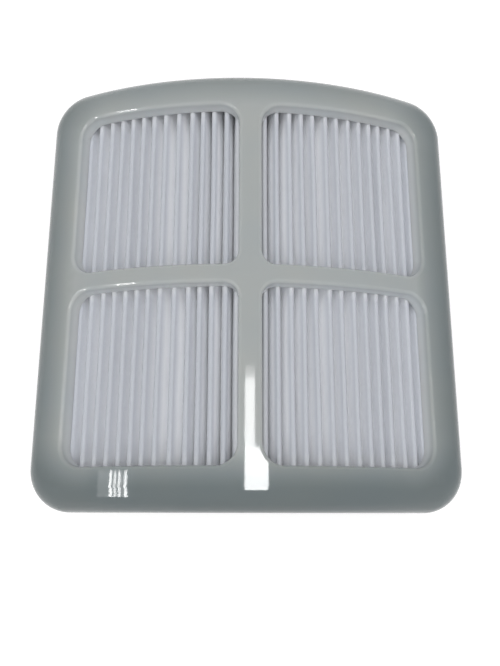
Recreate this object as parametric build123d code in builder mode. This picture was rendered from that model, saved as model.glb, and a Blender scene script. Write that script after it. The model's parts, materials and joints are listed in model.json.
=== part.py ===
from build123d import *
import os
from math import asin, cos, degrees, sin, sqrt

os.makedirs("parts", exist_ok=True)

# Frame: a convex panel bent round an axis along Y, with its walls straight down
face_radius = 133.0
frame_width = 135.0
frame_length = 141.5
face_thickness = 4.8
wall_thickness = 2.4
rim_radius = 8.0
corner_land = 5.5
rear_recess = 1.4

# Windows: two columns and two rows round a cross of bars
bar_width = 7.3
cross_bar_width = 6.0
side_land = 7.5
end_land = 5.2
window_corner_radius = 6.5
crossing_corner_radius = 4.5
window_edge_bevel = 0.9

# Pleat pack: one sheet folded to and fro, with its folds along Y
pleat_count = 33
pleat_height = 12.5
media_thickness = 0.8
ridge_clearance = 0.3

# Adhesive between the pack and the walls, and the foam strip under the walls
corner_cover = 0.3
gasket_thickness = 2.5

# Length by which a cutting shape runs past what it cuts
overrun = 2.0

# Radii about the axis of the curve
inner_face_radius = face_radius - face_thickness
ridge_radius = inner_face_radius - ridge_clearance
pack_rear_radius = ridge_radius - pleat_height
rear_radius = pack_rear_radius - rear_recess
gasket_radius = rear_radius - gasket_thickness

# Plan sizes inside the walls and inside the adhesive, which covers the pack's square corners
corner_radius = rim_radius + corner_land
inner_corner_radius = corner_radius - wall_thickness
potting_width = inner_corner_radius * (1 - sqrt(0.5)) + corner_cover
inner_width = frame_width - 2 * wall_thickness
inner_length = frame_length - 2 * wall_thickness
pack_width = inner_width - 2 * potting_width
pack_length = inner_length - 2 * potting_width

# Heights: the foam stands on z = 0, and the walls end level where the rear arc meets them
axis_level = gasket_thickness - sqrt(rear_radius**2 - (inner_width / 2) ** 2)
crown_level = axis_level + face_radius

# Window angles from the crown, the outer one short of where the rim starts to round off
rim_angle = asin((frame_width / 2 - rim_radius) / (face_radius - rim_radius))
first_angle = bar_width / 2 / face_radius
window_angle = rim_angle - side_land / face_radius - first_angle
window_length = frame_length / 2 - rim_radius - end_land - cross_bar_width / 2


def arch_section(top_radius, bottom_radius, bottom_level):
    """Section between two arcs about the axis, the lower one ending in level feet."""
    reach = frame_width / 2 + overrun
    top_level = axis_level + sqrt(top_radius**2 - reach**2)
    foot = sqrt(bottom_radius**2 - (bottom_level - axis_level) ** 2)
    with BuildSketch(Plane.XZ) as section:
        with BuildLine():
            ThreePointArc(
                (-reach, top_level), (0, axis_level + top_radius), (reach, top_level)
            )
            Polyline((reach, top_level), (reach, bottom_level), (foot, bottom_level))
            ThreePointArc(
                (foot, bottom_level), (0, axis_level + bottom_radius), (-foot, bottom_level)
            )
            Polyline((-foot, bottom_level), (-reach, bottom_level), (-reach, top_level))
        make_face()
    return section.sketch


# Hollow inside the frame, under the face and between the walls
with BuildPart() as hollow:
    with BuildSketch(Plane.XY.offset(-overrun)):
        RectangleRounded(inner_width, inner_length, inner_corner_radius)
    extrude(amount=crown_level + overrun)
    with BuildSketch(Plane.XZ):
        with Locations((0, axis_level)):
            Circle(inner_face_radius)
    extrude(amount=frame_length, both=True, mode=Mode.INTERSECT)

# One window: a block swung about the axis, so that its sides stand square to the curve
window_plane = Plane(
    origin=(0, 0, axis_level),
    x_dir=(0, 1, 0),
    z_dir=(cos(first_angle), 0, -sin(first_angle)),
)
with BuildPart() as window:
    with BuildSketch(window_plane):
        with Locations((cross_bar_width / 2, inner_face_radius - overrun)):
            Rectangle(
                window_length,
                face_thickness + 2 * overrun,
                align=(Align.MIN, Align.MIN),
            )
    revolve(
        axis=Axis((0, 0, axis_level), (0, 1, 0)),
        revolution_arc=degrees(window_angle),
    )
    corners = window.edges().filter_by(GeomType.LINE).filter_by(Axis.Y, reverse=True)
    crossing_corner = corners.sort_by_distance((0, 0, crown_level))[0]
    fillet(crossing_corner, crossing_corner_radius)
    corners = window.edges().filter_by(GeomType.LINE).filter_by(Axis.Y, reverse=True)
    fillet(corners.sort_by_distance((0, 0, crown_level))[2:], window_corner_radius)

# Four windows, mirrored about both bars
with BuildPart() as windows:
    add(window.part)
    mirror(about=Plane.YZ)
    mirror(about=Plane.XZ)

# Frame: rounded block with a curved face, a broad rim, a hollow and four bevelled windows
with BuildPart() as front_frame:
    with BuildSketch(Plane.XY):
        RectangleRounded(frame_width, frame_length, corner_radius)
    extrude(amount=crown_level + overrun)
    extrude(
        arch_section(face_radius, rear_radius, gasket_thickness),
        amount=frame_length,
        both=True,
        mode=Mode.INTERSECT,
    )
    fillet(front_frame.faces().sort_by(Axis.Z)[-1].edges(), rim_radius)
    add(hollow.part, mode=Mode.SUBTRACT)
    add(windows.part, mode=Mode.SUBTRACT)
    face = front_frame.faces().filter_by(GeomType.CYLINDER).sort_by(Axis.Z)[-1]
    chamfer(face.inner_wires().edges(), window_edge_bevel)
front_frame.part.label = "front_frame"
export_step(front_frame.part, "parts/front_frame.step")

# Folds: creased sharp inside, in front and behind, with the outermost leaves upright
front_crease_radius = ridge_radius - media_thickness
rear_crease_radius = pack_rear_radius + media_thickness
outer_crease_x = pack_width / 2 - media_thickness
side_pleats = (pleat_count - 1) / 2
pleat_angle = asin(outer_crease_x / front_crease_radius) / side_pleats
last_fold = 2 * (pleat_count - 1)
leaf_foot = axis_level + sqrt(pack_rear_radius**2 - (pack_width / 2) ** 2)


def fold_spoke(index):
    """Unit vector from the axis through a fold, counted from the left, even ones in front."""
    angle = (index / 2 - side_pleats) * pleat_angle
    return Vector(sin(angle), cos(angle))


def crease(index):
    """Inside corner of a fold."""
    radius = rear_crease_radius if index % 2 else front_crease_radius
    return Vector(0, axis_level) + fold_spoke(index) * radius


def leaf_normal(index):
    """Unit normal, to the right, of the leaf between a fold and the next, as thick as the sheet."""
    if index < 0 or index >= last_fold:
        return Vector(1, 0)
    run = crease(index + 1) - crease(index)
    along = run.normalized()
    across = Vector(along.Y, -along.X) if index % 2 else Vector(-along.Y, along.X)
    lean = asin(media_thickness / run.length)
    return across * cos(lean) + along * sin(lean)


def sheet_side(creased):
    """Draws the side of the sheet that is creased in the even or odd folds and round in the rest."""
    leaf_x = outer_crease_x + (0 if creased == 0 else media_thickness)
    start = Vector(-leaf_x, leaf_foot)
    for index in range(last_fold + 1):
        corner = crease(index)
        if index % 2 == creased:
            Line(start, corner)
            start = corner
            continue
        outward = -1 if index % 2 else 1
        into = corner - leaf_normal(index - 1) * media_thickness
        apex = corner + fold_spoke(index) * (outward * media_thickness)
        out = corner + leaf_normal(index) * media_thickness
        Line(start, into)
        ThreePointArc(into, apex, out)
        start = out
    Line(start, (leaf_x, leaf_foot))
    return (-leaf_x, leaf_foot), (leaf_x, leaf_foot)


# Folded sheet: its section across the pleats, run the length of the pack
with BuildPart() as pleated_media:
    with BuildSketch(Plane.XZ):
        with BuildLine():
            front_ends = sheet_side(creased=1)
            rear_ends = sheet_side(creased=0)
            Line(front_ends[0], rear_ends[0])
            Line(front_ends[1], rear_ends[1])
        make_face()
    extrude(amount=pack_length / 2, both=True)
pleated_media.part.label = "pleated_media"
export_step(pleated_media.part, "parts/pleated_media.step")

# Adhesive: fills the hollow round the pack, down to the rear of the pleats
with BuildPart() as potting_bead:
    add(hollow.part)
    with BuildSketch(Plane.XY):
        Rectangle(pack_width, pack_length)
    extrude(amount=crown_level, mode=Mode.SUBTRACT)
    with BuildSketch(Plane.XZ):
        with Locations((0, axis_level)):
            Circle(pack_rear_radius)
    extrude(amount=frame_length, both=True, mode=Mode.SUBTRACT)
potting_bead.part.label = "potting_bead"
export_step(potting_bead.part, "parts/potting_bead.step")

# Foam strip: follows the rear edge of the walls and gives the filter two level feet
with BuildPart() as rear_gasket:
    with BuildSketch(Plane.XY.offset(-overrun)):
        RectangleRounded(frame_width, frame_length, corner_radius)
        RectangleRounded(inner_width, inner_length, inner_corner_radius, mode=Mode.SUBTRACT)
    extrude(amount=crown_level)
    extrude(
        arch_section(face_radius, gasket_radius, 0),
        amount=frame_length,
        both=True,
        mode=Mode.INTERSECT,
    )
    extrude(
        arch_section(face_radius + overrun, rear_radius, gasket_thickness),
        amount=frame_length,
        both=True,
        mode=Mode.SUBTRACT,
    )
rear_gasket.part.label = "rear_gasket"
export_step(rear_gasket.part, "parts/rear_gasket.step")
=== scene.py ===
"""Dressed model of a curved vacuum exhaust filter: moulded frame, pleat pack, adhesive and foam."""

import json
import logging
import math
import random
from dataclasses import dataclass, field
from enum import Enum

import bpy
from mathutils import Matrix, Vector
from mathutils.geometry import delaunay_2d_cdt

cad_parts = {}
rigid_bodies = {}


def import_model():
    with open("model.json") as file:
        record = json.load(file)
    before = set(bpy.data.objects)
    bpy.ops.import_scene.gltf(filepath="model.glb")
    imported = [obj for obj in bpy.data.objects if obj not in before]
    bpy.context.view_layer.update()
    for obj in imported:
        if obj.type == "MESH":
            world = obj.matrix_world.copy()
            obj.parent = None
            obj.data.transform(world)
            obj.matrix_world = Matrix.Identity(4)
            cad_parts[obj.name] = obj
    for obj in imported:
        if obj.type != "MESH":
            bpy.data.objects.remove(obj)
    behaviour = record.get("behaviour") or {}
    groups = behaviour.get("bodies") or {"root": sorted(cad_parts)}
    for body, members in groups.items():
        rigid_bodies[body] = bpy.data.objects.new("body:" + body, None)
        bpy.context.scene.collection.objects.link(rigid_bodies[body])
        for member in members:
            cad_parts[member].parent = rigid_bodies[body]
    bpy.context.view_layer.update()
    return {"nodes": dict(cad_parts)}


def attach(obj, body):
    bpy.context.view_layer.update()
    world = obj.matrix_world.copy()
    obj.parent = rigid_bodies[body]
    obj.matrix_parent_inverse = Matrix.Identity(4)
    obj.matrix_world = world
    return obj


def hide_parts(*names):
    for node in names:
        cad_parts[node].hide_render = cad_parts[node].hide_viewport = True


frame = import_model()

LOG = logging.getLogger("exhaust_filter")
MM = 0.001
QUARTER_TURN = math.radians(90)
SAME_WAY = 1e-6
WELD_DISTANCE = 1e-7
CORNER_SIGNS = ((1, 1), (-1, 1), (-1, -1), (1, -1))

# Colour sockets of the Mix node, by number because their names repeat
MIX_FIRST, MIX_SECOND, MIX_RESULT = 6, 7, 2

# Noise values between which a tint and a roughness run
TINT_SPAN = (0.3, 0.7)
ROUGHNESS_SPAN = (0.25, 0.75)

Triple = tuple[float, float, float]
Span = tuple[float, float]
Socket = bpy.types.NodeSocket


def clamped(share: float) -> float:
    """Returns a share kept between 0 and 1."""
    return max(0.0, min(1.0, share))


class Slot(Enum):
    """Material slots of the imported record."""

    FRAME = "frame_plastic"
    MEDIA = "filter_media"
    POTTING = "potting"
    FOAM = "foam"


class Keep(Enum):
    """What delaunay_2d_cdt keeps: all that lies inside the ties."""

    INSIDE = 1


class Blend(Enum):
    """How a colour ramp runs between its stops."""

    STRAIGHT = "LINEAR"
    SMOOTH = "B_SPLINE"


@dataclass
class Row:
    """A line of mesh points, with one surface's shading normal at each.

    Attributes:
        ids: Indices of the points in the mesh.
        normals: Unit normals, one for each point.
    """

    ids: list[int]
    normals: list[Vector]

    def turned(self, normals: list[Vector]) -> "Row":
        """Returns the same points with the normals of another surface."""
        return Row(self.ids, normals)


@dataclass
class MeshDraft:
    """Points and faces of one piece, in millimetres, with a normal for each face corner."""

    points: list[Vector] = field(default_factory=list)
    faces: list[list[int]] = field(default_factory=list)
    corner_normals: list[Vector] = field(default_factory=list)
    tones: list[float] = field(default_factory=list)

    def row(self, points: list[Vector], normals: list[Vector], tone: float | list[float]) -> Row:
        """Adds a line of points.

        Args:
            points: Places of the points.
            normals: Unit normals at the points.
            tone: Shade of the points, one for all or one for each.

        Returns:
            The row of the new points.
        """
        first = len(self.points)
        self.points.extend(points)
        self.tones.extend(tone if isinstance(tone, list) else [tone] * len(points))
        return Row(list(range(first, first + len(points))), normals)

    def face(self, ids: list[int], normals: list[Vector]) -> None:
        """Adds one face, with its corners counter-clockwise seen from outside.

        Args:
            ids: Indices of the corners.
            normals: Unit normals at the corners.
        """
        self.faces.append(list(ids))
        self.corner_normals.extend(normals)

    def strip(self, lower: Row, upper: Row, closed: bool = True) -> None:
        """Joins two rows of the same length with quads.

        Args:
            lower: Row on the right hand, seen from outside, when walking along the rows.
            upper: Row on the left hand.
            closed: True where the rows run right round.
        """
        count = len(lower.ids)
        for i in range(count if closed else count - 1):
            j = (i + 1) % count
            self.face(
                [lower.ids[i], lower.ids[j], upper.ids[j], upper.ids[i]],
                [lower.normals[i], lower.normals[j], upper.normals[j], upper.normals[i]],
            )

    def piece(self, name: str) -> bpy.types.Object:
        """Makes the mesh object.

        Args:
            name: Name of the object and of its mesh.

        Returns:
            The object, linked to the scene.
        """
        mesh = bpy.data.meshes.new(name)
        mesh.from_pydata([p * MM for p in self.points], [], self.faces)
        mesh.polygons.foreach_set("use_smooth", [True] * len(mesh.polygons))
        mesh.normals_split_custom_set([tuple(n) for n in self.corner_normals])
        shade = mesh.attributes.new("tone", "FLOAT", "POINT")
        shade.data.foreach_set("value", self.tones)
        mesh.update()
        made = bpy.data.objects.new(name, mesh)
        bpy.context.scene.collection.objects.link(made)
        return made


@dataclass(frozen=True)
class Edge:
    """A point on a plan outline with its outward direction."""

    x: float
    y: float
    nx: float
    ny: float

    def inset(self, depth: float) -> "Edge":
        """Returns the point moved inwards by a depth, with the same direction."""
        return Edge(self.x - depth * self.nx, self.y - depth * self.ny, self.nx, self.ny)


def rounded_outline(
    low: Span, high: Span, radii: list[float], step: float, corner_steps: int
) -> list[Edge]:
    """Walks counter-clockwise round a rectangle with rounded corners.

    Args:
        low: Lowest corner.
        high: Highest corner.
        radii: Radius of each corner, in the order of CORNER_SIGNS.
        step: Longest distance between points on the sides.
        corner_steps: Number of steps round each corner.

    Returns:
        The points, starting on the right side at the lower corner.
    """
    centres = []
    for (sx, sy), radius in zip(CORNER_SIGNS, radii):
        x = high[0] - radius if sx > 0 else low[0] + radius
        y = high[1] - radius if sy > 0 else low[1] + radius
        centres.append((x, y))
    edges: list[Edge] = []
    for quarter, (centre, radius) in enumerate(zip(centres, radii)):
        for i in range(corner_steps + 1):
            turn = QUARTER_TURN * (quarter + i / corner_steps)
            nx, ny = math.cos(turn), math.sin(turn)
            edges.append(Edge(centre[0] + radius * nx, centre[1] + radius * ny, nx, ny))
        here = edges[-1]
        after = centres[(quarter + 1) % 4]
        reach = radii[(quarter + 1) % 4]
        target = (after[0] + reach * here.nx, after[1] + reach * here.ny)
        run = math.hypot(target[0] - here.x, target[1] - here.y)
        count = max(1, math.ceil(run / step))
        for i in range(1, count):
            share = i / count
            x = here.x + (target[0] - here.x) * share
            y = here.y + (target[1] - here.y) * share
            edges.append(Edge(x, y, here.nx, here.ny))
    return edges


def turned_between(start: Vector, end: Vector, share: float) -> Vector:
    """Turns one unit vector towards another at an even rate.

    Args:
        start: Unit vector at share 0.
        end: Unit vector at share 1.
        share: How far to turn.

    Returns:
        The unit vector between them.
    """
    angle = start.angle(end)
    if angle < SAME_WAY:
        return start.copy()
    mixed = start * math.sin((1 - share) * angle) + end * math.sin(share * angle)
    return mixed.normalized()


@dataclass(frozen=True)
class Arch:
    """The cylinder that the face is bent round, with its axis along Y.

    Attributes:
        radius: Radius of the face.
        level: Height of the axis.
    """

    radius: float = 133.0
    level: float = -91.08413

    def out(self, angle: float) -> Vector:
        """Returns the direction square to the face at an angle from the crown."""
        return Vector((math.sin(angle), 0.0, math.cos(angle)))

    def along(self, angle: float) -> Vector:
        """Returns the direction along the curve, to the right, at an angle from the crown."""
        return Vector((math.cos(angle), 0.0, -math.sin(angle)))

    def place(self, angle: float, y: float, radius: float) -> Vector:
        """Returns the point at an angle, a place along the axis and a radius."""
        return Vector((radius * math.sin(angle), y, self.level + radius * math.cos(angle)))

    def height(self, x: float, radius: float) -> float:
        """Returns the level, over x, of the cylinder with another radius."""
        return self.level + math.sqrt(radius * radius - x * x)


ARCH = Arch()


class Shade:
    """A node material under construction, with short ways to add and join its nodes."""

    def __init__(self, name: str) -> None:
        """Starts a material with one principled shader.

        Args:
            name: Name of the material.
        """
        self.material = bpy.data.materials.new(name)
        self.material.use_nodes = True
        self.tree = self.material.node_tree
        self.tree.nodes.clear()
        self.output = self.tree.nodes.new("ShaderNodeOutputMaterial")
        self.shader = self.tree.nodes.new("ShaderNodeBsdfPrincipled")
        self.tree.links.new(self.shader.outputs["BSDF"], self.output.inputs["Surface"])

    def set(self, **values: float | tuple[float, ...]) -> None:
        """Sets sockets of the shader, named with underscores for spaces."""
        for name, value in values.items():
            self.shader.inputs[name.replace("_", " ")].default_value = value

    def node(self, kind: str, **values: object) -> bpy.types.Node:
        """Adds a node.

        Args:
            kind: Node type, without the ShaderNode in front.
            **values: Properties of the node.

        Returns:
            The node.
        """
        made = self.tree.nodes.new("ShaderNode" + kind)
        for name, value in values.items():
            setattr(made, name, value)
        return made

    def join(self, source: Socket, target: Socket) -> None:
        """Links one socket to another."""
        self.tree.links.new(source, target)

    def noise(self, scale: Triple, detail: float, roughness: float) -> Socket:
        """Adds a noise in the object's own coordinates.

        Args:
            scale: Waves per metre along each axis.
            detail: Octaves of detail.
            roughness: Weight of the finer octaves.

        Returns:
            The socket of the noise value.
        """
        place = self.node("TexCoord")
        stretch = self.node("Mapping")
        stretch.inputs["Scale"].default_value = scale
        self.join(place.outputs["Object"], stretch.inputs["Vector"])
        noise = self.node("TexNoise")
        noise.inputs["Scale"].default_value = 1.0
        noise.inputs["Detail"].default_value = detail
        noise.inputs["Roughness"].default_value = roughness
        self.join(stretch.outputs["Vector"], noise.inputs["Vector"])
        return noise.outputs["Fac"]

    def ramp(
        self, value: Socket, stops: list[tuple[float, Triple]], blend: Blend = Blend.STRAIGHT
    ) -> Socket:
        """Adds a colour ramp.

        Args:
            value: Socket that drives it.
            stops: Places and linear colours, in order.
            blend: How it runs between them.

        Returns:
            The socket of the colour.
        """
        ramp = self.node("ValToRGB")
        ramp.color_ramp.interpolation = blend.value
        while len(ramp.color_ramp.elements) < len(stops):
            ramp.color_ramp.elements.new(0.5)
        for element, (place, colour) in zip(ramp.color_ramp.elements, stops):
            element.position = place
            element.color = (*colour, 1.0)
        self.join(value, ramp.inputs["Fac"])
        return ramp.outputs["Color"]

    def tint(self, base: Socket, value: Socket, low: Triple, high: Triple) -> Socket:
        """Multiplies a colour by a tint that runs between two with a value.

        Args:
            base: Socket of the colour.
            value: Socket that drives the tint.
            low: Tint at the low end of TINT_SPAN.
            high: Tint at its high end.

        Returns:
            The socket of the tinted colour.
        """
        mix = self.node("Mix", data_type="RGBA", blend_type="MULTIPLY")
        mix.inputs["Factor"].default_value = 1.0
        self.join(base, mix.inputs[MIX_FIRST])
        self.join(self.ramp(value, list(zip(TINT_SPAN, (low, high)))), mix.inputs[MIX_SECOND])
        return mix.outputs[MIX_RESULT]

    def colour(self, socket: Socket) -> None:
        """Takes a socket as the base colour."""
        self.join(socket, self.shader.inputs["Base Color"])

    def roughness(self, value: Socket, low: float, high: float) -> None:
        """Varies the roughness with a value.

        Args:
            value: Socket that drives it.
            low: Roughness at the low end of ROUGHNESS_SPAN.
            high: Roughness at its high end.
        """
        span = self.node("MapRange")
        ends = ("From Min", "From Max", "To Min", "To Max")
        for name, number in zip(ends, (*ROUGHNESS_SPAN, low, high)):
            span.inputs[name].default_value = number
        self.join(value, span.inputs["Value"])
        self.join(span.outputs["Result"], self.shader.inputs["Roughness"])

    def bump(self, heights: list[tuple[Socket, float]]) -> None:
        """Stacks bumps on the shader's normal.

        Args:
            heights: Sockets with the height of each in metres.
        """
        before: Socket | None = None
        for value, height in heights:
            bump = self.node("Bump")
            bump.inputs["Strength"].default_value = 1.0
            bump.inputs["Distance"].default_value = height
            self.join(value, bump.inputs["Height"])
            if before is not None:
                self.join(before, bump.inputs["Normal"])
            before = bump.outputs["Normal"]
        if before is not None:
            self.join(before, self.shader.inputs["Normal"])


@dataclass(frozen=True)
class MilkyPlastic:
    """Polished, milky moulded plastic, palest at the window edges, a painted glow of light through
    the plastic, and deep at the rim, painted shade.
    """

    # Colours along the tone: the first is a painted glow on the window walls and edges, the rest
    # run into painted shade towards the rim
    edge: Triple = (0.74, 0.765, 0.77)
    pale: Triple = (0.4, 0.423, 0.417)
    middle: Triple = (0.272, 0.31, 0.314)
    deep: Triple = (0.131, 0.163, 0.169)
    tone_stops: tuple[float, ...] = (0.0, 0.25, 0.6, 1.0)
    cloud_scale: Triple = (45.0, 45.0, 45.0)
    cool: Triple = (0.97, 0.985, 1.0)
    warm: Triple = (1.025, 1.01, 0.99)
    gloss: Span = (0.035, 0.055)
    ripple_scale: Triple = (60.0, 60.0, 60.0)
    ripple_height: float = 0.00002
    glow_tint: Triple = (0.8, 0.9, 0.9)

    def material(self) -> bpy.types.Material:
        """Mixes the plastic.

        Returns:
            The material.
        """
        shade = Shade("milky_plastic")
        # The tone carries painted light: a glow at the windows and shade towards the rim
        tone = shade.node("Attribute", attribute_name="tone")
        colours = (self.edge, self.pale, self.middle, self.deep)
        base = shade.ramp(tone.outputs["Fac"], list(zip(self.tone_stops, colours)), Blend.SMOOTH)
        cloud = shade.noise(self.cloud_scale, detail=2.0, roughness=0.4)
        shade.colour(shade.tint(base, cloud, self.cool, self.warm))
        shade.roughness(cloud, *self.gloss)
        ripple = shade.noise(self.ripple_scale, detail=1.0, roughness=0.3)
        shade.bump([(ripple, self.ripple_height)])
        shade.set(IOR=1.5, Subsurface_Weight=0.4, Subsurface_Scale=0.004)
        shade.set(Subsurface_Radius=self.glow_tint)
        return shade.material


@dataclass(frozen=True)
class FibreSheet:
    """Matt white filter fleece with fine matted fibres, greyed by painted shade where the folds
    stand proud.
    """

    # The first colour is the fleece down the leaves, the second painted shade on the crests of the
    # folds
    leaf_white: Triple = (0.978, 0.983, 0.993)
    crest_shade: Triple = (0.605, 0.63, 0.687)
    fibre_scale: Triple = (2600.0, 900.0, 2600.0)
    fibre_height: float = 0.00008
    fibre_shadow: Triple = (0.97, 0.97, 0.97)
    fibre_light: Triple = (1.02, 1.02, 1.02)
    blotch_scale: Triple = (220.0, 60.0, 220.0)
    blotch_height: float = 0.0002
    gloss: Span = (0.82, 0.95)
    glow_tint: Triple = (1.0, 1.0, 1.0)

    def material(self) -> bpy.types.Material:
        """Mixes the fleece.

        Returns:
            The material.
        """
        shade = Shade("fibre_sheet")
        blotch = shade.noise(self.blotch_scale, detail=4.0, roughness=0.6)
        # Painted shade greys the crests of the folds, less beside the bars
        tone = shade.node("Attribute", attribute_name="tone")
        base = shade.ramp(tone.outputs["Fac"], [(0.0, self.leaf_white), (1.0, self.crest_shade)])
        fibre = shade.noise(self.fibre_scale, detail=5.0, roughness=0.65)
        shade.colour(shade.tint(base, fibre, self.fibre_shadow, self.fibre_light))
        shade.roughness(fibre, *self.gloss)
        shade.bump([(fibre, self.fibre_height), (blotch, self.blotch_height)])
        shade.set(Sheen_Weight=0.08, Sheen_Roughness=0.5, Specular_IOR_Level=0.2)
        shade.set(Subsurface_Weight=0.1, Subsurface_Scale=0.0004)
        shade.set(Subsurface_Radius=self.glow_tint)
        return shade.material


@dataclass(frozen=True)
class HotMelt:
    """Set adhesive, off-white and satin, with slow waves."""

    pale: Triple = (0.72, 0.71, 0.65)
    deep: Triple = (0.60, 0.58, 0.50)
    wave_scale: Triple = (180.0, 180.0, 180.0)
    wave_height: float = 0.0006
    gloss: Span = (0.32, 0.46)
    glow_tint: Triple = (1.0, 0.9, 0.7)

    def material(self) -> bpy.types.Material:
        """Mixes the adhesive.

        Returns:
            The material.
        """
        shade = Shade("hot_melt")
        wave = shade.noise(self.wave_scale, detail=2.0, roughness=0.5)
        shade.colour(shade.ramp(wave, list(zip(TINT_SPAN, (self.deep, self.pale)))))
        shade.roughness(wave, *self.gloss)
        shade.bump([(wave, self.wave_height)])
        shade.set(Subsurface_Weight=0.2, Subsurface_Scale=0.002)
        shade.set(Subsurface_Radius=self.glow_tint)
        return shade.material


@dataclass(frozen=True)
class ClosedFoam:
    """Dark closed-cell foam with fine cells."""

    dark: Triple = (0.045, 0.047, 0.05)
    light: Triple = (0.085, 0.088, 0.092)
    cell_scale: float = 1900.0
    cell_span: Span = (0.15, 0.75)
    cell_height: float = 0.0003
    mottle_scale: Triple = (500.0, 500.0, 500.0)
    mottle_height: float = 0.0002
    gloss: Span = (0.8, 0.95)

    def material(self) -> bpy.types.Material:
        """Mixes the foam.

        Returns:
            The material.
        """
        shade = Shade("closed_foam")
        place = shade.node("TexCoord")
        cells = shade.node("TexVoronoi", feature="F1")
        cells.inputs["Scale"].default_value = self.cell_scale
        shade.join(place.outputs["Object"], cells.inputs["Vector"])
        # The colour deepens into each cell's pit, where the bump sinks: painted shade in the
        # hollows
        depth = cells.outputs["Distance"]
        shade.colour(shade.ramp(depth, list(zip(self.cell_span, (self.dark, self.light)))))
        mottle = shade.noise(self.mottle_scale, detail=3.0, roughness=0.6)
        shade.roughness(mottle, *self.gloss)
        shade.bump([(depth, self.cell_height), (mottle, self.mottle_height)])
        shade.set(Specular_IOR_Level=0.3)
        return shade.material


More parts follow.
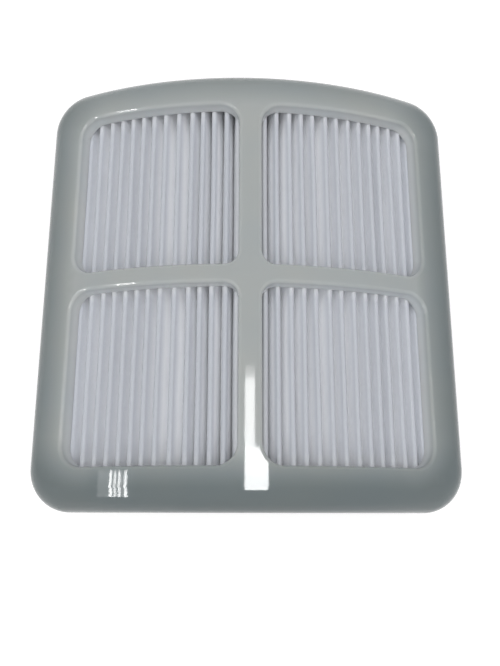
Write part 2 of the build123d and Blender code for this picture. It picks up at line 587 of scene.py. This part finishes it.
@dataclass
class FrontFrame:
    """Moulded frame: curved face with four windows, a broad rounded rim and straight walls."""

    width: float = 135.0
    length: float = 141.5
    face_thickness: float = 4.8
    wall: float = 2.4
    rim_radius: float = 8.0
    corner_radius: float = 13.5
    rear_radius: float = 114.0
    foot_level: float = 2.5
    first_angle: float = 0.0274436
    last_angle: float = 0.43971
    bar_half: float = 3.0
    window_end: float = 57.55
    window_corner: float = 6.5
    crossing_corner: float = 4.5
    edge_radius: float = 1.1

    # Distances in from the outline where the painted shade starts to deepen towards the rim and
    # where it is deepest, set for each side
    fade_left: Span = (11.0, -0.5)
    fade_right: Span = (14.0, 2.0)
    fade_near: Span = (17.0, 6.5)
    fade_far: Span = (13.0, -7.0)
    fade_reach: float = 22.0

    # Tones from 0, the palest, to 1, and how far a window's edge lightens: the palest are a painted
    # glow of light through the plastic, the deepest painted shade
    land_tone: float = 0.25
    edge_fade: float = 0.55
    outer_tone: float = 1.0
    inner_tone: float = 0.8
    window_tone: float = 0.0

    # Spacing of the mesh points
    step: float = 2.2
    grid_clearance: float = 0.55
    corner_steps: int = 14
    window_corner_steps: int = 10
    rim_steps: int = 12
    edge_steps: int = 8
    wall_steps: int = 5

    def rear_level(self, x: float) -> float:
        """Finds the level of the walls' rear edge, on the rear arc or the level foot.

        Args:
            x: Place across the frame.

        Returns:
            The level there.
        """
        if abs(x) >= self.width / 2 - self.wall:
            return self.foot_level
        return max(self.foot_level, ARCH.height(x, self.rear_radius))

    def rear_normal(self, x: float) -> Vector:
        """Finds the direction square to the walls' rear edge.

        Args:
            x: Place across the frame.

        Returns:
            The unit vector there, downwards.
        """
        if abs(x) >= self.width / 2 - self.wall:
            return Vector((0.0, 0.0, -1.0))
        return -ARCH.out(math.asin(x / self.rear_radius))

    def outside(self, draft: MeshDraft, edges: list[Edge]) -> tuple[Row, Row]:
        """Builds the rounded rim and the outer walls.

        Args:
            draft: Mesh to add to.
            edges: Outline of the walls.

        Returns:
            The row where the rim leaves the face, and the row at the walls' rear edge.
        """
        ball = self.rim_radius
        spine_radius = ARCH.radius - ball
        rows: list[Row] = []
        walls = [Vector((e.nx, e.ny, 0.0)) for e in edges]
        spine = []
        faces = []
        for e in edges:
            foot = e.inset(ball)
            spine.append(Vector((foot.x, foot.y, ARCH.height(foot.x, spine_radius))))
            faces.append(ARCH.out(math.asin(foot.x / spine_radius)))
        for k in range(self.rim_steps + 1):
            share = k / self.rim_steps
            ways = [turned_between(f, w, share) for f, w in zip(faces, walls)]
            places = [c + w * ball for c, w in zip(spine, ways)]
            rows.append(draft.row(places, ways, [self.tone(p) for p in places]))
        for k in range(1, self.wall_steps + 1):
            share = k / self.wall_steps
            places = [
                Vector((e.x, e.y, c.z + (self.rear_level(e.x) - c.z) * share))
                for e, c in zip(edges, spine)
            ]
            # The outer walls take the deepest tone, painted shade
            rows.append(draft.row(places, walls, self.outer_tone))
        for upper, lower in zip(rows, rows[1:]):
            draft.strip(lower, upper)
        return rows[0], rows[-1]

    def inside(self, draft: MeshDraft, edges: list[Edge], outer: Row) -> Row:
        """Builds the walls' rear edge and their inner sides.

        Args:
            draft: Mesh to add to.
            edges: Outline of the walls.
            outer: Row at the rear edge of the outer walls.

        Returns:
            The row where the inner walls meet the underside of the face.
        """
        inner_edges = [e.inset(self.wall) for e in edges]
        below = [self.rear_normal(e.x) for e in edges]
        feet = [Vector((e.x, e.y, self.rear_level(e.x))) for e in inner_edges]
        rear = draft.row(feet, [self.rear_normal(e.x) for e in inner_edges], self.outer_tone)
        draft.strip(rear, outer.turned(below))
        inward = [Vector((-e.nx, -e.ny, 0.0)) for e in edges]
        rows = [rear.turned(inward)]
        under_radius = ARCH.radius - self.face_thickness
        for k in range(1, self.wall_steps + 1):
            share = k / self.wall_steps
            places = []
            for e, foot in zip(inner_edges, feet):
                top = ARCH.height(e.x, under_radius)
                places.append(Vector((e.x, e.y, foot.z + (top - foot.z) * share)))
            rows.append(draft.row(places, inward, self.inner_tone))
        for lower, upper in zip(rows, rows[1:]):
            draft.strip(upper, lower)
        return rows[-1]

    def window(self, draft: MeshDraft, side: int, end: int) -> tuple[Row, Row]:
        """Builds the soft edge and the walls of one window.

        Args:
            draft: Mesh to add to.
            side: 1 for the right column, -1 for the left.
            end: 1 for the far row, -1 for the near one.

        Returns:
            The row where the edge leaves the face, and the row at the underside.
        """
        ball = self.edge_radius
        spine_radius = ARCH.radius - ball
        across = sorted(side * angle * ARCH.radius for angle in (self.first_angle, self.last_angle))
        ends = sorted((end * self.bar_half, end * self.window_end))
        radii = [
            self.crossing_corner if signs == (-side, -end) else self.window_corner
            for signs in CORNER_SIGNS
        ]
        low, high = zip(across, ends)
        outline = rounded_outline(low, high, radii, self.step, self.window_corner_steps)
        stretch = ARCH.radius / ball * math.asin(ball / spine_radius)
        rows: list[Row] = []
        angles = [(e.x + e.nx * ball * stretch) / ARCH.radius for e in outline]
        lengths = [e.y + e.ny * ball for e in outline]
        inward = [
            -(ARCH.along(a) * e.nx + Vector((0.0, e.ny, 0.0))) for a, e in zip(angles, outline)
        ]
        for k in range(self.edge_steps + 1):
            turn = QUARTER_TURN * k / self.edge_steps
            places = []
            ways = []
            for angle, y, into in zip(angles, lengths, inward):
                way = ARCH.out(angle) * math.cos(turn) + into * math.sin(turn)
                places.append(ARCH.place(angle, y, spine_radius) + way * ball)
                ways.append(way)
            # Painted glow: the tone pales over the soft edge towards the window
            glow = 1 - self.edge_fade * k / self.edge_steps
            rows.append(draft.row(places, ways, [self.tone(p) * glow for p in places]))
        under_radius = ARCH.radius - self.face_thickness
        tops = [draft.points[i] for i in rows[-1].ids]
        feet = [ARCH.place(math.atan2(p.x, p.z - ARCH.level), p.y, under_radius) for p in tops]
        middle = [(p + q) / 2 for p, q in zip(tops, feet)]
        # The window walls take the palest tone, a painted glow of light through the plastic
        for places in (middle, feet):
            rows.append(draft.row(places, inward, self.window_tone))
        for upper, lower in zip(rows, rows[1:]):
            draft.strip(upper, lower)
        return rows[0], rows[-1]

    def sheet(
        self, draft: MeshDraft, outline: Row, holes: list[Row], radius: float, up: bool
    ) -> None:
        """Fills the curved face, or its underside, between its outline and the windows.

        Args:
            draft: Mesh to add to.
            outline: Row round the sheet.
            holes: Rows round the windows.
            radius: Radius of the sheet.
            up: True for the face, False for the underside.
        """
        ids: list[int] = []
        flat: list[Vector] = []
        ties: list[tuple[int, int]] = []
        owners: list[int] = []
        boxes: list[tuple[Vector, Vector]] = []
        for owner, row in enumerate((outline, *holes)):
            first = len(ids)
            count = len(row.ids)
            spots = [self.flattened(draft.points[i]) for i in row.ids]
            ids.extend(row.ids)
            flat.extend(spots)
            owners.extend([owner] * count)
            ties.extend((first + i, first + (i + 1) % count) for i in range(count))
            xs, ys = zip(*spots)
            boxes.append((Vector((min(xs), min(ys))), Vector((max(xs), max(ys)))))
        grid = self.grid(flat, boxes)
        found = delaunay_2d_cdt(flat + grid, ties, [], Keep.INSIDE.value, WELD_DISTANCE)
        places, triangles, origins = found[0], found[2], found[3]
        known: dict[int, int] = {}
        owner_of: dict[int, int] = {}
        for number, sources in enumerate(origins):
            if sources and sources[0] < len(ids):
                known[number] = ids[sources[0]]
                owner_of[number] = owners[sources[0]]
        for triangle in triangles:
            # A triangle with all its corners on one window's row lies across that window
            touched = {owner_of.get(n, 0) for n in triangle}
            if len(touched) == 1 and touched != {0}:
                continue
            for n in triangle:
                if n not in known:
                    spot = places[n]
                    known[n] = len(draft.points)
                    draft.points.append(ARCH.place(spot.x / ARCH.radius, spot.y, radius))
                    draft.tones.append(self.tone(draft.points[-1]))
            corners = list(triangle) if up else list(reversed(triangle))
            ways = [ARCH.out(places[n].x / ARCH.radius) * (1 if up else -1) for n in corners]
            draft.face([known[n] for n in corners], ways)

    def grid(self, flat: list[Vector], boxes: list[tuple[Vector, Vector]]) -> list[Vector]:
        """Spreads points over a flattened sheet, clear of its edges and windows.

        Args:
            flat: Points on the edges.
            boxes: Lowest and highest corner of the outline, then of each window.

        Returns:
            The points between them.
        """
        clear = (self.grid_clearance * self.step) ** 2
        found: list[Vector] = []
        low, high = boxes[0]
        lines = range(math.ceil(low.y / self.step), math.ceil(high.y / self.step))
        columns = range(math.ceil(low.x / self.step), math.ceil(high.x / self.step))
        for line in lines:
            for column in columns:
                spot = Vector(((column + 0.5 * (line % 2)) * self.step, line * self.step))
                if any(a.x < spot.x < b.x and a.y < spot.y < b.y for a, b in boxes[1:]):
                    continue
                if min((spot - p).length_squared for p in flat) > clear:
                    found.append(spot)
        return found

    def flattened(self, place: Vector) -> Vector:
        """Returns a point's distance round the face's curve and its place along the axis."""
        return Vector((ARCH.radius * math.atan2(place.x, place.z - ARCH.level), place.y))

    def tone(self, place: Vector) -> float:
        """Finds the tone of the face at a place, a painted shade that deepens from the windows out
        to the rim.

        Args:
            place: Place on the face or the rim.

        Returns:
            The tone, from that of the windows' surrounds to 1 at the deepest.
        """
        across = max(0.0, self.fade_reach - self.width / 2 + abs(place.x))
        along = max(0.0, self.fade_reach - self.length / 2 + abs(place.y))
        margin = self.fade_reach - math.hypot(across, along)
        turn = math.atan2(along, across) / QUARTER_TURN
        side = Vector(self.fade_left if place.x < 0 else self.fade_right)
        start, stop = side.lerp(Vector(self.fade_near if place.y < 0 else self.fade_far), turn)
        paler = clamped((margin - stop) / (start - stop))
        return 1 - (1 - self.land_tone) * paler

    def build(self) -> bpy.types.Object:
        """Builds and dresses the frame.

        Returns:
            The frame's object.
        """
        draft = MeshDraft()
        edges = rounded_outline(
            (-self.width / 2, -self.length / 2),
            (self.width / 2, self.length / 2),
            [self.corner_radius] * len(CORNER_SIGNS),
            self.step,
            self.corner_steps,
        )
        rim, rear = self.outside(draft, edges)
        under = self.inside(draft, edges, rear)
        windows = [self.window(draft, side, end) for side in (-1, 1) for end in (-1, 1)]
        self.sheet(draft, rim, [w[0] for w in windows], ARCH.radius, True)
        self.sheet(draft, under, [w[1] for w in windows], ARCH.radius - self.face_thickness, False)
        made = draft.piece("frame_moulding")
        made.data.materials.append(MilkyPlastic().material())
        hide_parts("front_frame")
        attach(made, "root")
        return made


@dataclass(frozen=True)
class Habit:
    """How one fold strays from its even place, in millimetres and radians.

    Attributes:
        offset: Shift round the curve.
        sway: Height of its waves along the pack.
        waves: Half waves in half the pack.
        phase: Where the waves start.
        bow: How far the leaf after it bows, to the right.
    """

    offset: float
    sway: float
    waves: float
    phase: float
    bow: float


@dataclass(frozen=True)
class SidePoint:
    """A point on one side of the sheet, with the normals before it and after it."""

    place: Vector
    before: Vector
    after: Vector


@dataclass
class PleatPack:
    """One sheet folded to and fro between the face and the rear, its folds wandering a little."""

    count: int = 33
    front_radius: float = 127.35
    rear_radius: float = 116.2
    sheet: float = 0.8
    outer_x: float = 60.7489
    half_length: float = 64.7989
    foot_level: float = 6.532

    # Shift of each ridge round the curve, and the chance added to it
    slides: tuple[float, ...] = (
        *(0.0, -0.3, -0.5, -0.4, -0.1, 0.0, -0.25, -0.3, -0.6, -0.5, 0.1, 0.6, 0.3, 0.0, 0.3, -0.1),
        0.45,
        *(0.7, 0.8, 1.0, 1.1, 1.0, 1.45, 1.45, 1.7, 1.8, 1.5, 1.3, 1.35, 1.3, 1.0, 0.5, 0.0),
    )
    drift: float = 0.06
    sway: float = 0.09
    sway_range: Span = (0.3, 1.0)
    wave_range: Span = (0.6, 1.9)
    bow: float = 0.16
    seed: int = 41
    stations: int = 45
    arc_steps: int = 6
    leaf_steps: int = 3

    # Depth down the leaves to which painted shade greys the folds, and the bars and ends beside
    # which it eases, painted light that lifts their shade
    crest_shade_depth: float = 3.0
    bar_half: float = 3.65
    cross_bar_half: float = 3.0
    window_end: float = 57.55
    shelter: float = 3.0
    sheltered_shade: float = 0.5

    def pitch_angle(self) -> float:
        """Returns the angle between neighbouring ridges."""
        return math.asin(self.outer_x / self.front_radius) / ((self.count - 1) / 2)

    def wander(self) -> list[Habit]:
        """Draws how each fold strays, with the outermost held straight.

        Returns:
            The folds' habits, from left to right.
        """
        draw = random.Random(self.seed)
        found = []
        last = 2 * (self.count - 1)
        for index in range(last + 1):
            held = 0.0 if index in (0, last) else 1.0
            slide = (self.slides[index // 2] + self.slides[(index + 1) // 2]) / 2
            found.append(
                Habit(
                    offset=slide + held * draw.gauss(0.0, self.drift),
                    sway=held * draw.uniform(*self.sway_range) * self.sway,
                    waves=draw.uniform(*self.wave_range),
                    phase=draw.uniform(0.0, 2 * math.pi),
                    bow=held * draw.uniform(-1.0, 1.0) * self.bow,
                )
            )
        return found

    def creases(self, y: float, habits: list[Habit]) -> list[Vector]:
        """Places the inside corners of all folds at one station.

        Args:
            y: Place along the axis.
            habits: How each fold strays.

        Returns:
            The corners from left to right, in front at even places.
        """
        found = []
        middle = self.count - 1
        for index, habit in enumerate(habits):
            radius = self.rear_radius if index % 2 else self.front_radius
            swing = math.sin(habit.phase + habit.waves * math.pi * y / self.half_length)
            slide = habit.offset + habit.sway * swing
            angle = (index - middle) / 2 * self.pitch_angle() + slide / self.front_radius
            found.append(ARCH.place(angle, y, radius))
        return found

    def section(self, y: float, habits: list[Habit], creased: int) -> list[SidePoint]:
        """Draws one side of the sheet at one station.

        Args:
            y: Place along the axis.
            habits: How each fold strays.
            creased: 0 where this side is creased in the front folds, 1 in the rear ones.

        Returns:
            The points from left to right.
        """
        corners = self.creases(y, habits)
        last = len(corners) - 1
        hand = 1.0 if creased else -1.0
        leaf_x = self.outer_x + (self.sheet if creased else 0.0)

        def face_way(index: int) -> Vector:
            """Returns this side's normal on the leaf after a fold."""
            return self.leaf_normal(corners, index) * (-hand if index % 2 else hand)

        start = Vector((-leaf_x, y, self.foot_level))
        found = [SidePoint(start, face_way(-1), face_way(-1))]
        for index, corner in enumerate(corners):
            before, after = face_way(index - 1), face_way(index)
            if index % 2 == creased:
                fold = [SidePoint(corner, before, after)]
            else:
                fold = []
                for k in range(self.arc_steps + 1):
                    way = turned_between(before, after, k / self.arc_steps)
                    fold.append(SidePoint(corner + way * self.sheet, way, way))
            self.leaf(found, fold[0].place, before, habits[index - 1].bow if index else 0.0)
            found.extend(fold)
        end = Vector((leaf_x, y, self.foot_level))
        self.leaf(found, end, face_way(last), 0.0)
        found.append(SidePoint(end, face_way(last), face_way(last)))
        return found

    def leaf_normal(self, corners: list[Vector], index: int) -> Vector:
        """Finds the direction to the right across the leaf after a fold.

        Args:
            corners: Inside corners of the folds.
            index: Number of the fold, or -1 for the leaf before the first.

        Returns:
            The unit vector, leant so that the leaf is as thick as the sheet.
        """
        if index < 0 or index >= len(corners) - 1:
            return Vector((1.0, 0.0, 0.0))
        run = corners[index + 1] - corners[index]
        way = run.normalized()
        square = Vector((way.z, 0.0, -way.x)) if index % 2 else Vector((-way.z, 0.0, way.x))
        lean = math.asin(self.sheet / run.length)
        return square * math.cos(lean) + way * math.sin(lean)

    def leaf(self, found: list[SidePoint], end: Vector, way: Vector, bow: float) -> None:
        """Adds the inner points of a leaf that bows a little.

        Args:
            found: Points so far, of which the last is the leaf's start.
            end: The leaf's end.
            way: This side's normal on the leaf.
            bow: How far the leaf bows, to the right.
        """
        start = found[-1].place
        lift = bow * (1.0 if way.x > 0 else -1.0)
        length = (end - start).length
        down = (end - start).normalized()
        for k in range(1, self.leaf_steps):
            share = k / self.leaf_steps
            tilt = way - down * (lift * math.pi / length * math.cos(math.pi * share))
            tilt.normalize()
            spot = start.lerp(end, share) + way * (lift * math.sin(math.pi * share))
            found.append(SidePoint(spot, tilt, tilt))

    def crest_shading(self, place: Vector, creased: int) -> float:
        """Finds how much painted shade greys one side of the sheet at a place.

        Args:
            place: Place on the sheet.
            creased: 0 where this side is creased in the front folds, 1 in the rear ones.

        Returns:
            The share of painted shade, from 1 on the folds in the open to less beside the bars,
            where painted light lifts their shade, and 0 down the leaves.
        """
        radius = math.hypot(place.x, place.z - ARCH.level)
        front, rear = self.front_radius + self.sheet, self.rear_radius - self.sheet
        depth = front - radius if creased else radius - rear
        across = abs(ARCH.radius * math.atan2(place.x, place.z - ARCH.level))
        along = abs(place.y)
        clear = min(across - self.bar_half, along - self.cross_bar_half, self.window_end - along)
        # Beside the bars and ends the shade is eased: painted light that lifts the shade they cast
        open_share = self.sheltered_shade + (1.0 - self.sheltered_shade) * clamped(clear / self.shelter)
        return open_share * clamped(1.0 - depth / self.crest_shade_depth)

    def build(self) -> bpy.types.Object:
        """Builds and dresses the folded sheet.

        Returns:
            The sheet's object.
        """
        draft = MeshDraft()
        habits = self.wander()
        shares = [2 * k / (self.stations - 1) - 1 for k in range(self.stations)]
        below = [Vector((0.0, 0.0, -1.0))] * self.stations
        borders: list[list[tuple[int, int]]] = []
        feet: list[tuple[Row, Row]] = []
        for creased in (1, 0):
            sections = [self.section(self.half_length * s, habits, creased) for s in shares]
            rows: list[tuple[Row, Row]] = []
            for line in zip(*sections):
                places = [point.place for point in line]
                # Painted shade on the crests of the folds, eased beside the bars
                crest_shade = [self.crest_shading(place, creased) for place in places]
                before = draft.row(places, [point.before for point in line], crest_shade)
                rows.append((before, before.turned([point.after for point in line])))
            for (_, left), (right, _) in zip(rows, rows[1:]):
                if creased:
                    draft.strip(right, left, closed=False)
                else:
                    draft.strip(left, right, closed=False)
            borders.append([(row.ids[0], row.ids[-1]) for row, _ in rows])
            feet.append((rows[0][0].turned(below), rows[-1][0].turned(below)))
        draft.strip(feet[0][0], feet[1][0], closed=False)
        draft.strip(feet[1][1], feet[0][1], closed=False)
        self.close(draft, borders)
        made = draft.piece("folded_fleece")
        made.data.materials.append(FibreSheet().material())
        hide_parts("pleated_media")
        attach(made, "root")
        return made

    def close(self, draft: MeshDraft, borders: list[list[tuple[int, int]]]) -> None:
        """Closes the cut ends of the sheet.

        Args:
            draft: Mesh to add to.
            borders: For each side of the sheet, the first and last point of each of its rows.
        """
        last = 2 * (self.count - 1)
        for tip, way in ((0, Vector((0.0, -1.0, 0.0))), (1, Vector((0.0, 1.0, 0.0)))):
            front, rear = ([ends[tip] for ends in side] for side in borders)
            a = b = 0
            for index in range(last + 2):
                for _ in range(self.leaf_steps):
                    self.cap(draft, [front[a], front[a + 1], rear[b + 1], rear[b]], way)
                    a += 1
                    b += 1
                for _ in range(self.arc_steps if index <= last else 0):
                    if index % 2 == 0:
                        self.cap(draft, [front[a], front[a + 1], rear[b]], way)
                        a += 1
                    else:
                        self.cap(draft, [front[a], rear[b + 1], rear[b]], way)
                        b += 1

    def cap(self, draft: MeshDraft, ids: list[int], way: Vector) -> None:
        """Adds one face of a cut end, turned to face outwards.

        Args:
            draft: Mesh to add to.
            ids: Indices of the corners, in order either way round.
            way: Direction out of the end.
        """
        first, second, third = (draft.points[i] for i in ids[:3])
        if (second - first).cross(third - first).dot(way) < 0:
            ids = ids[::-1]
        draft.face(ids, [way] * len(ids))


@dataclass
class Backing:
    """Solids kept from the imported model, dressed with their own finishes."""

    potting: str = "potting_bead"
    foam: str = "rear_gasket"

    def dress(self) -> list[bpy.types.Object]:
        """Gives the adhesive and the foam their finishes.

        Returns:
            The two objects.
        """
        done = []
        for name, finish, slot in (
            (self.potting, HotMelt(), Slot.POTTING),
            (self.foam, ClosedFoam(), Slot.FOAM),
        ):
            node = frame["nodes"][name]
            node.data.materials.clear()
            node.data.materials.append(finish.material())
            done.append(node)
        return done


def seen_rays(tree: bpy.types.NodeTree) -> Socket:
    """Tells the rays that show the background from those that only light the object.

    Args:
        tree: Node tree to add to.

    Returns:
        A socket that is 1 for rays from the camera, in reflections and through clear things.
    """
    path = tree.nodes.new("ShaderNodeLightPath")
    seen = path.outputs["Is Camera Ray"]
    for name in ("Is Glossy Ray", "Is Transmission Ray"):
        either = tree.nodes.new("ShaderNodeMath")
        either.operation = "MAXIMUM"
        tree.links.new(seen, either.inputs[0])
        tree.links.new(path.outputs[name], either.inputs[1])
        seen = either.outputs["Value"]
    return seen


@dataclass(frozen=True)
class SoftLight:
    """A rectangular lamp.

    Attributes:
        name: Name of the lamp.
        place: Where it stands, in metres.
        size: Width and height, in metres.
        level: Brightness of its surface.
        aim: What it points at, in metres.
        along: Direction of its height.
        mirrored: True where polished surfaces show it.
        lighting: True where it lights matt surfaces.
    """

    name: str
    place: Triple
    size: Span
    level: float
    aim: Triple = (0.0, 0.0, 0.03)
    along: Triple = (0.0, 1.0, 0.0)
    mirrored: bool = True
    lighting: bool = True

    def hang(self) -> None:
        """Adds the lamp to the scene."""
        lamp = bpy.data.lights.new(self.name, "AREA")
        lamp.shape = "RECTANGLE"
        lamp.size, lamp.size_y = self.size
        lamp.energy = self.level * math.pi * self.size[0] * self.size[1]
        made = bpy.data.objects.new(self.name, lamp)
        back = (Vector(self.place) - Vector(self.aim)).normalized()
        up = Vector(self.along)
        up = (up - back * up.dot(back)).normalized()
        axes = Matrix((up.cross(back), up, back)).transposed().to_4x4()
        made.matrix_world = Matrix.Translation(self.place) @ axes
        made.visible_camera = False
        made.visible_glossy = self.mirrored
        made.visible_diffuse = self.lighting
        bpy.context.scene.collection.objects.link(made)


@dataclass
class Studio:
    """White floor, pale sky, soft lamps, and a window and a blind to reflect."""

    diffuse_bounces: int = 12
    max_bounces: int = 16
    floor_size: float = 6.0
    floor_drop: float = 0.0004
    floor_shade: float = 0.5
    floor_lift: float = 0.72
    sky_low: float = 0.12
    sky_high: float = 1.22
    sky_way: Triple = (0.0, -0.18, 0.984)
    sky_span: Span = (0.4, 0.9)
    lamps: tuple[SoftLight, ...] = (
        SoftLight("fill_right", (0.5, -0.1, 0.9), (0.7, 0.7), 0.35, mirrored=False),
        SoftLight("key_left", (-0.45, -0.1, 0.9), (0.7, 0.7), 0.75, mirrored=False),
    )

    # Name, place, size and brightness of each pane of the window
    panes: tuple[tuple[str, Span, Span, float], ...] = (
        ("window_end", (0.028, 0.165), (0.060, 0.018), 4.0),
        ("window_far", (0.028, 0.0955), (0.060, 0.121), 14.0),
        ("window_near", (0.0695, -0.2225), (0.141, 0.515), 20.0),
    )
    pane_level: float = 1.04

    # Share of the way across the blind, width and brightness of each gap
    slats: tuple[Triple, ...] = (
        (0.07, 0.019, 18.0),
        (0.32, 0.015, 14.0),
        (0.57, 0.017, 17.0),
        (0.92, 0.020, 18.0),
        (0.5, 0.136, 2.5),
        (-0.33, 0.085, 1.7),
    )

    # Both sides of the blind at each of its bends
    slat_bends: tuple[tuple[Triple, Triple], ...] = (
        ((-0.886, 0.002, 0.885), (-0.783, 0.002, 0.974)),
        ((-0.868, -0.384, 0.843), (-0.766, -0.403, 0.926)),
        ((-0.828, -0.666, 0.713), (-0.730, -0.691, 0.789)),
        ((-0.762, -0.905, 0.499), (-0.671, -0.935, 0.567)),
    )
    slat_aim: Triple = (-0.038, -0.062, 0.036)

    def floor(self) -> None:
        """Lays the floor, which is lifted to white where it is seen."""
        half = self.floor_size / 2
        mesh = bpy.data.meshes.new("studio_floor")
        corners = [(-half, -half, 0.0), (half, -half, 0.0), (half, half, 0.0), (-half, half, 0.0)]
        mesh.from_pydata(corners, [], [(0, 1, 2, 3)])
        made = bpy.data.objects.new("studio_floor", mesh)
        made.location.z = -self.floor_drop
        bpy.context.scene.collection.objects.link(made)
        shade = Shade("white_floor")
        grey = self.floor_shade
        shade.set(Base_Color=(grey, grey, grey, 1.0), Roughness=0.9, Specular_IOR_Level=0.0)
        shade.set(Emission_Color=(1.0, 1.0, 1.0, 1.0))
        lift = shade.node("Math", operation="MULTIPLY")
        lift.inputs[1].default_value = self.floor_lift
        shade.join(seen_rays(shade.tree), lift.inputs[0])
        shade.join(lift.outputs["Value"], shade.shader.inputs["Emission Strength"])
        mesh.materials.append(shade.material)

    def sky(self) -> None:
        """Makes the world: a sky that is brightest along sky_way, and white where it is seen."""
        world = bpy.data.worlds.new("studio_sky")
        bpy.context.scene.world = world
        world.use_nodes = True
        tree = world.node_tree
        tree.nodes.clear()
        output = tree.nodes.new("ShaderNodeOutputWorld")
        light = tree.nodes.new("ShaderNodeBackground")
        place = tree.nodes.new("ShaderNodeTexCoord")
        climb = tree.nodes.new("ShaderNodeVectorMath")
        climb.operation = "DOT_PRODUCT"
        climb.inputs[1].default_value = self.sky_way
        ramp = tree.nodes.new("ShaderNodeValToRGB")
        low, high = ramp.color_ramp.elements
        low.position, high.position = self.sky_span
        low.color = (self.sky_low, self.sky_low, self.sky_low, 1.0)
        high.color = (self.sky_high, self.sky_high, self.sky_high, 1.0)
        tree.links.new(place.outputs["Generated"], climb.inputs[0])
        tree.links.new(climb.outputs["Value"], ramp.inputs["Fac"])
        tree.links.new(ramp.outputs["Color"], light.inputs["Color"])
        white = tree.nodes.new("ShaderNodeBackground")
        mix = tree.nodes.new("ShaderNodeMixShader")
        tree.links.new(seen_rays(tree), mix.inputs["Fac"])
        tree.links.new(light.outputs["Background"], mix.inputs[1])
        tree.links.new(white.outputs["Background"], mix.inputs[2])
        white.inputs["Color"].default_value = (1.0, 1.0, 1.0, 1.0)
        tree.links.new(mix.outputs["Shader"], output.inputs["Surface"])

    def blind(self) -> list[SoftLight]:
        """Sets out the bright gaps of a slatted blind, seen only in polished surfaces.

        Returns:
            The lamps of each gap, one after the other along its bends.
        """
        found = []
        for number, (share, width, level) in enumerate(self.slats):
            turns = [Vector(a).lerp(Vector(b), share) for a, b in self.slat_bends]
            for part, (start, end) in enumerate(zip(turns, turns[1:])):
                found.append(
                    SoftLight(
                        f"slat_{number}_{part}",
                        tuple((start + end) / 2),
                        (width, (end - start).length),
                        level,
                        aim=self.slat_aim,
                        along=tuple(end - start),
                        lighting=False,
                    )
                )
        return found

    def window(self) -> list[SoftLight]:
        """Sets out the panes of a bright window overhead, seen only in polished surfaces.

        Returns:
            The panes, facing straight down.
        """
        return [
            SoftLight(name, (*spot, self.pane_level), size, level, (*spot, 0.0), lighting=False)
            for name, spot, size, level in self.panes
        ]

    def light(self) -> None:
        """Lays the floor, makes the sky, hangs the lamps and lets light bounce in the folds."""
        self.floor()
        self.sky()
        for lamp in (*self.lamps, *self.window(), *self.blind()):
            lamp.hang()
        bpy.context.scene.cycles.diffuse_bounces = self.diffuse_bounces
        bpy.context.scene.cycles.max_bounces = self.max_bounces


@dataclass(frozen=True)
class PhotoCamera:
    """Camera at the photograph's viewing angle."""

    place: Triple = (-0.00602, -0.06997, 0.24130)
    right: Triple = (0.99954, 0.00199, 0.03016)
    up: Triple = (-0.00938, 0.96897, 0.24699)
    back: Triple = (-0.02873, -0.24716, 0.96855)
    lens: float = 37.601
    clip_start: float = 0.01

    def set_up(self) -> None:
        """Adds the camera and makes it the scene's own."""
        data = bpy.data.cameras.new("photo_camera")
        data.lens = self.lens
        data.clip_start = self.clip_start
        made = bpy.data.objects.new("photo_camera", data)
        axes = Matrix((self.right, self.up, self.back)).transposed().to_4x4()
        made.matrix_world = Matrix.Translation(self.place) @ axes
        bpy.context.scene.collection.objects.link(made)
        bpy.context.scene.camera = made


def main() -> None:
    """Builds the filter, the studio and the camera in order."""
    logging.basicConfig(level=logging.INFO, format="%(name)s: %(message)s")
    pieces = [FrontFrame().build(), PleatPack().build(), *Backing().dress()]
    for piece in pieces:
        LOG.info("%s: %d faces", piece.name, len(piece.data.polygons))
    Studio().light()
    PhotoCamera().set_up()
    bpy.context.scene.view_settings.view_transform = "Standard"


if __name__ == "__main__":
    main()
